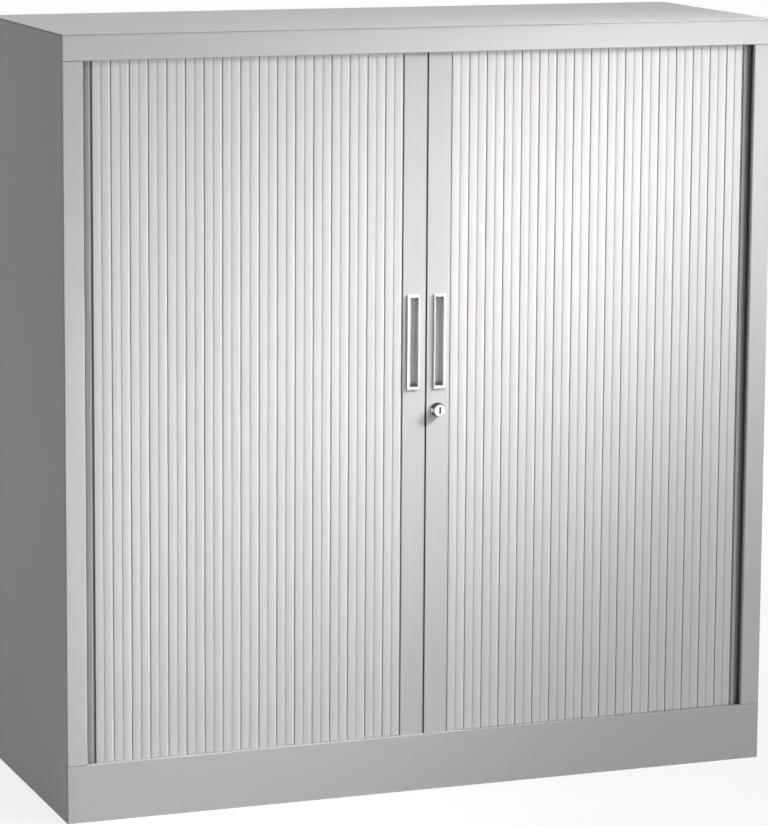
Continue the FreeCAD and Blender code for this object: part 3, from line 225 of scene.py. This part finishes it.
# Painted highlight: how much lighter each slat's right edge is made.
EDGE_HIGHLIGHT_PAINTED = 1.35
FIRST_JOINT = 41.0 * MM
SLAT_PITCH = 30.0 * MM
FLAT_SLATS = 17
CORNER_JOINT = FIRST_JOINT + FLAT_SLATS * SLAT_PITCH
CORNER_JOINT_HALF = 1.2 * MM
LID_GAP = (1.5 * MM, 1.0 * MM)
MEETING_GAP = (1.4 * MM, 2.0 * MM)
# Where across each slat the painted highlight on its right edge begins and where it is full.
SLAT_EDGE = (0.90, 0.94)
# Painted shade inside the keyway and round its mouth.
KEYWAY_PAINTED_SHADE = (0.012, 0.012, 0.013)
ZINC_GREY = (0.66, 0.66, 0.64)
TRACK_GREY = (0.09, 0.088, 0.09)


def powder_coat(name, colour, roughness=0.44, gap=None):
    """Satin powder coat: orange peel, fine metal flake and a faint cloudiness over the panel.

    The gap, where given, is a function that adds painted shade: a tone which is dark along a narrow gap."""
    shader = Shader(name)
    cloud = shader.noise(0.35, detail=3.0)
    speck = shader.noise(0.7 * MM, detail=1.0)
    peel = shader.noise(2.2 * MM, detail=2.0)
    tones = [
        shader.spread(cloud, "Fac", 0.985, 1.015),
        shader.spread(speck, "Fac", 0.975, 1.025),
    ]
    if gap is not None:
        tones.append(gap(shader))
    shader.tint(colour, tones)
    gloss = shader.spread(cloud, "Fac", roughness - 0.03, roughness + 0.03)
    shader.link(gloss, "Result", shader.surface, "Roughness")
    grain = shader.bump(speck, 0.02 * MM, 0.35)
    shader.bump(peel, 0.05 * MM, 0.5, grain)
    shader.set(Metallic=0.06)
    return shader.material


def lid_gap_painted_shade(shader):
    """Painted shade: the lid's folded edge is dark below its top 1.5 mm, for the shadow in the reveal
    under it, which draws the thin line round it.
    """
    height = shader.axis(shader.place, "Object", "Z")
    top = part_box("top_panel")[1][2]
    return shader.ramp(height, top - LID_GAP[0], top - LID_GAP[1], GAP_PAINTED_SHADE, 1.0)


def meeting_gap_painted_shade(shader):
    """Painted shade: the lead rails are dark along the edges where they meet, for the shadow in the seam
    between them.
    """
    across = shader.magnitude(shader.axis(shader.place, "Object", "X"))
    return shader.ramp(across, MEETING_GAP[0], MEETING_GAP[1], GAP_PAINTED_SHADE, 1.0)


def extruded_slat(name, colour):
    """Satin extruded plastic: long die lines, each slat a shade apart from the next, a painted highlight
    along each slat's right edge, and painted shade at the joint where the curtain turns into the corner.
    """
    shader = Shader(name)
    lines = shader.noise(0.9 * MM, detail=2.0, stretch=(1.0, 1.0, 0.004))
    cloud = shader.noise(0.30, detail=2.0)
    shade = shader.noise(30 * MM, detail=0.0, stretch=(1.0, 0.2, 0.0))
    along = shader.axis(shader.place, "Object", "X")
    reach = shader.magnitude(along)
    tones = [
        shader.spread(lines, "Fac", 0.985, 1.015),
        shader.spread(shade, "Fac", 0.97, 1.03),
        shader.spread(cloud, "Fac", 0.99, 1.01),
        # Painted highlight along each slat's right edge.
        shader.ramp(shader.slat_phase(along), SLAT_EDGE[0], SLAT_EDGE[1], 1.0, EDGE_HIGHLIGHT_PAINTED),
        # Painted shade at the joint where the curtain turns into the corner.
        shader.band(reach, CORNER_JOINT, CORNER_JOINT_HALF, 1.0, GAP_PAINTED_SHADE),
    ]
    shader.tint(colour, tones)
    gloss = shader.spread(lines, "Fac", 0.37, 0.45)
    shader.link(gloss, "Result", shader.surface, "Roughness")
    shader.bump(lines, 0.02 * MM, 0.4)
    shader.set(Metallic=0.12)
    return shader.material


def moulded(name, colour, roughness):
    """Moulded plastic or rubber with a fine grain."""
    shader = Shader(name)
    fine = shader.noise(0.6 * MM, detail=2.0)
    cloud = shader.noise(20 * MM, detail=2.0)
    shader.tint(colour, [shader.spread(cloud, "Fac", 0.97, 1.03)])
    gloss = shader.spread(cloud, "Fac", roughness - 0.04, roughness + 0.04)
    shader.link(gloss, "Result", shader.surface, "Roughness")
    shader.bump(fine, 0.02 * MM, 0.4)
    shader.set(Metallic=0.0)
    return shader.material


def bare_metal(name, colour, roughness):
    """Plated metal with faint blotches and fine scratches."""
    shader = Shader(name)
    patches = shader.noise(8 * MM, detail=3.0)
    scratches = shader.noise(0.25 * MM, detail=2.0, stretch=(1.0, 1.0, 0.05))
    shader.tint(colour, [shader.spread(patches, "Fac", 0.93, 1.07)])
    gloss = shader.spread(patches, "Fac", roughness * 0.8, roughness * 1.2)
    shader.link(gloss, "Result", shader.surface, "Roughness")
    shader.bump(scratches, 0.004 * MM, 0.3)
    shader.set(Metallic=1.0)
    return shader.material


def handle_plastic():
    """Light glossy rim round a cup darkened as painted shade for the shadow in the recess, darkest at the
    cup's two ends.
    """
    low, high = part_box("left_handle")
    shader = Shader("handle")
    cloud = shader.noise(20 * MM, detail=2.0)
    streak = shader.noise(1.6 * MM, detail=2.0, stretch=(1.0, 1.0, 0.02))
    depth = shader.axis(shader.place, "Object", "Y")
    height = shader.axis(shader.place, "Object", "Z")
    rim_back, cup_front = (low[1] + reach for reach in CUP_DEPTH)
    # Painted shade: behind the rim the cup is darker, and darker still towards its foot and head.
    inside = shader.ramp(depth, rim_back, cup_front, 0.0, 1.0)
    foot = shader.ramp(height, low[2] + CUP_FOOT[0], low[2] + CUP_FOOT[1], CUP_END_PAINTED_SHADE, 1.0)
    head = shader.ramp(height, high[2] - CUP_HEAD[0], high[2] - CUP_HEAD[1], 1.0, CUP_END_PAINTED_SHADE)
    ends = shader.times(foot.outputs[0], head.outputs[0])
    streaks = shader.spread(streak, "Fac", CUP_PAINTED_SHADE * 0.8, CUP_PAINTED_SHADE * 1.2)
    cup = shader.times(ends, streaks.outputs[0])
    tone = shader.add("ShaderNodeMix", data_type="FLOAT")
    shader.tree.links.new(inside.outputs[0], tone.inputs[0])
    tone.inputs[2].default_value = 1.0
    shader.tree.links.new(cup, tone.inputs[3])
    shader.tint(HANDLE_GREY, [tone, shader.spread(cloud, "Fac", 0.98, 1.02)])
    gloss = shader.ramp(depth, rim_back, cup_front, 0.25, 0.5)
    shader.link(gloss, "Result", shader.surface, "Roughness")
    return shader.material


def lock_plug():
    """Bright plated face; painted shade down in the keyway and in a band round its mouth, which draws the
    dark keyhole.
    """
    low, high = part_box("lock_plug")
    middle = [(low[axis] + high[axis]) / 2 for axis in range(3)]
    shader = Shader("lock_plug")
    # Painted shade: deeper than the face, and in a band round the keyway's mouth, the plug is dark.
    depth = shader.axis(shader.place, "Object", "Y")
    inside = shader.ramp(depth, low[1] + PLUG_DEPTH[0], low[1] + PLUG_DEPTH[1], 0.0, 1.0)
    across = shader.axis(shader.place, "Object", "X")
    height = shader.axis(shader.place, "Object", "Z")
    near = shader.band(across, middle[0], KEYWAY_EDGE[0], 0.0, 1.0)
    level = shader.band(height, middle[2] + KEYWAY_RISE, KEYWAY_EDGE[1], 0.0, 1.0)
    edge = shader.times(near.outputs[0], level.outputs[0])
    dark = shader.sum("MAXIMUM", edge, inside.outputs[0])
    shade = shader.blend(dark, PLUG_BRIGHT, KEYWAY_PAINTED_SHADE)
    shader.tree.links.new(shade, shader.surface.inputs["Base Color"])
    shader.link(shader.ramp(dark, 0.0, 1.0, 0.12, 0.7), "Result", shader.surface, "Roughness")
    shader.link(shader.ramp(dark, 0.0, 1.0, 1.0, 0.0), "Result", shader.surface, "Metallic")
    return shader.material


def lock_housing():
    """Bright nose; the barrel and flange behind it are painted dark, as painted shade and dark reflection,
    but for a band at mid-height left bright as a painted highlight.
    """
    low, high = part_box("lock_housing")
    middle = (low[2] + high[2]) / 2
    shader = Shader("lock_housing")
    depth = shader.axis(shader.place, "Object", "Y")
    height = shader.axis(shader.place, "Object", "Z")
    # Painted shade and dark reflection on the barrel and flange behind the nose, leaving a painted
    # highlight band at mid-height.
    behind = shader.ramp(depth, low[1] + BARREL_START[0], low[1] + BARREL_START[1], 0.0, 1.0)
    rise = shader.magnitude(shader.sum("SUBTRACT", height, value=middle))
    beyond_highlight_band = shader.ramp(rise, HIGHLIGHT_BAND_PAINTED[0], HIGHLIGHT_BAND_PAINTED[1], 0.0, 1.0)
    barrel_shade_mask = shader.times(behind.outputs[0], beyond_highlight_band.outputs[0])
    shade = shader.blend(barrel_shade_mask, CHROME, BARREL_PAINTED_SHADE)
    shader.tree.links.new(shade, shader.surface.inputs["Base Color"])
    shader.set(Metallic=1.0, Roughness=0.16)
    return shader.material


def dress_nodes():
    """Give every carried-over piece the finish that its material slot names, then give five pieces their
    own: among them the plinth and head rail, whose paints are the body paint darkened as painted shade and
    lightened as painted light.
    """
    finishes = {
        "body_paint": powder_coat("body_paint", BODY_GREY),
        "rail_paint": powder_coat("rail_paint", RAIL_GREY, 0.42, gap=meeting_gap_painted_shade),
        "inner_paint": powder_coat("inner_paint", INNER_GREY, 0.46),
        "slat": extruded_slat("slat", SLAT_GREY),
        "handle": handle_plastic(),
        "lock_chrome": bare_metal("lock_chrome", CHROME, 0.13),
        "zinc": bare_metal("zinc", ZINC_GREY, 0.32),
        "track_plastic": moulded("track_plastic", TRACK_GREY, 0.45),
        "pad_plastic": moulded("pad_plastic", (0.02, 0.02, 0.02), 0.5),
        "rubber": moulded("rubber", (0.018, 0.018, 0.018), 0.7),
    }
    for part in frame["record"]["subparts"]:
        mesh = frame["nodes"][part["node"]].data
        mesh.materials.clear()
        mesh.materials.append(finishes[part["material_slot"]])
    own = {
        # The plinth's paint is the body paint darkened as painted shade; the head rail's is lightened as
        # painted light.
        "plinth_panel": powder_coat("plinth_paint_shaded", PLINTH_SHADED_GREY),
        "top_panel": powder_coat("lid_paint", BODY_GREY, gap=lid_gap_painted_shade),
        "top_rail": powder_coat("head_paint_lit", HEAD_LIT_GREY),
        "lock_plug": lock_plug(),
        "lock_housing": lock_housing(),
    }
    for node, finish in own.items():
        mesh = frame["nodes"][node].data
        mesh.materials.clear()
        mesh.materials.append(finish)


# ---------------------------------------------------------------- studio

FLOOR_SIZE = 40.0
FLOOR_DIFFUSE = (0.2, 0.2, 0.2, 1.0)
FLOOR_GLOW = (0.84, 0.97)
GLOW_REACH = (0.8, 4.0)
SKY_LIGHT = 0.048
WHITE = (1.0, 1.0, 1.0, 1.0)


def seen_rays(nodes, links):
    """1 for rays that show the background to the eye, in gloss or through glass; 0 for light."""
    path = nodes.new("ShaderNodeLightPath")
    total = path.outputs["Is Camera Ray"]
    for name in ("Is Glossy Ray", "Is Transmission Ray"):
        both = nodes.new("ShaderNodeMath")
        both.operation = "MAXIMUM"
        links.new(total, both.inputs[0])
        links.new(path.outputs[name], both.inputs[1])
        total = both.outputs[0]
    return total


def make_floor():
    """Pale floor with the cabinet's soft shadow: its glow, for seen rays only, grows to white far away."""
    mesh = bpy.data.meshes.new("floor")
    half = FLOOR_SIZE / 2
    corners = [(-half, -half, 0), (half, -half, 0), (half, half, 0), (-half, half, 0)]
    mesh.from_pydata(corners, [], [(0, 1, 2, 3)])
    floor = bpy.data.objects.new("floor", mesh)
    bpy.context.scene.collection.objects.link(floor)
    material = bpy.data.materials.new("floor")
    material.use_nodes = True
    nodes, links = material.node_tree.nodes, material.node_tree.links
    nodes.clear()
    output = nodes.new("ShaderNodeOutputMaterial")
    matt = nodes.new("ShaderNodeBsdfDiffuse")
    matt.inputs["Color"].default_value = FLOOR_DIFFUSE
    glow = nodes.new("ShaderNodeEmission")
    glow.inputs["Color"].default_value = WHITE
    place = nodes.new("ShaderNodeTexCoord")
    away = nodes.new("ShaderNodeVectorMath")
    away.operation = "LENGTH"
    links.new(place.outputs["Object"], away.inputs[0])
    level = nodes.new("ShaderNodeMapRange")
    level.interpolation_type = "SMOOTHSTEP"
    level.inputs["From Min"].default_value = GLOW_REACH[0]
    level.inputs["From Max"].default_value = GLOW_REACH[1]
    level.inputs["To Min"].default_value = FLOOR_GLOW[0]
    level.inputs["To Max"].default_value = FLOOR_GLOW[1]
    links.new(away.outputs["Value"], level.inputs["Value"])
    lift = nodes.new("ShaderNodeMath")
    lift.operation = "MULTIPLY"
    links.new(seen_rays(nodes, links), lift.inputs[0])
    links.new(level.outputs["Result"], lift.inputs[1])
    links.new(lift.outputs[0], glow.inputs["Strength"])
    both = nodes.new("ShaderNodeAddShader")
    links.new(matt.outputs[0], both.inputs[0])
    links.new(glow.outputs[0], both.inputs[1])
    links.new(both.outputs[0], output.inputs["Surface"])
    mesh.materials.append(material)


def make_world():
    """White to the eye, a weak even light on the object."""
    world = bpy.data.worlds.new("studio")
    bpy.context.scene.world = world
    world.use_nodes = True
    nodes, links = world.node_tree.nodes, world.node_tree.links
    nodes.clear()
    output = nodes.new("ShaderNodeOutputWorld")
    back = nodes.new("ShaderNodeBackground")
    back.inputs["Color"].default_value = WHITE
    level = nodes.new("ShaderNodeMapRange")
    level.inputs["To Min"].default_value = SKY_LIGHT
    level.inputs["To Max"].default_value = 1.0
    links.new(seen_rays(nodes, links), level.inputs["Value"])
    links.new(level.outputs["Result"], back.inputs["Strength"])
    links.new(back.outputs[0], output.inputs["Surface"])


def softbox(name, place, target, width, height, power, spread=180.0):
    """Rectangular lamp aimed at a point; the spread, in degrees, is that of a grid on its front."""
    data = bpy.data.lights.new(name, "AREA")
    data.shape = "RECTANGLE"
    data.size = width
    data.size_y = height
    data.energy = power
    data.spread = math.radians(spread)
    lamp = bpy.data.objects.new(name, data)
    bpy.context.scene.collection.objects.link(lamp)
    lamp.location = place
    aim = Vector(target) - Vector(place)
    lamp.rotation_euler = aim.to_track_quat("-Z", "Y").to_euler()
    lamp.visible_camera = False
    return lamp


KEY_PLACE = (1.368, -0.946, 1.679)
KEY_TARGET = (-0.4, -0.2, 0.47)


def make_lights():
    """Gridded key and veil high on the right; soft fills in front, above, behind and on the far side."""
    softbox("key", KEY_PLACE, KEY_TARGET, 0.3, 0.3, 1.93, spread=39.0)
    softbox("key_veil", KEY_PLACE, KEY_TARGET, 0.8, 0.8, 2.56, spread=39.0)
    softbox("front_box", (1.474, -2.87, 3.414), (-1.3, -0.2, 0.59), 0.5, 0.5, 35.5, spread=170.0)
    softbox("low_fill", (0.4, -6.0, 0.8), (0, 0, 0.6), 3.0, 1.6, 52)
    softbox("right_fill", (3.2, -5.0, 0.8), (0, 0, 0.6), 2.0, 1.6, 46)
    softbox("top_box", (0, 0.4, 4.0), (0, 0.2, 0.6), 2.0, 2.0, 19)
    softbox("back_box", (0.3, 3.2, 0.65), (0.2, 0.2, 0.65), 1.6, 0.9, 48)
    softbox("far_side_box", (3.6, 0.5, 0.8), (0.6, 0.1, 0.62), 1.2, 1.0, 14)


def studio():
    make_camera()
    make_floor()
    make_world()
    make_lights()
    bpy.context.scene.view_settings.view_transform = "Standard"


# ---------------------------------------------------------------- build

dress_nodes()
studio()
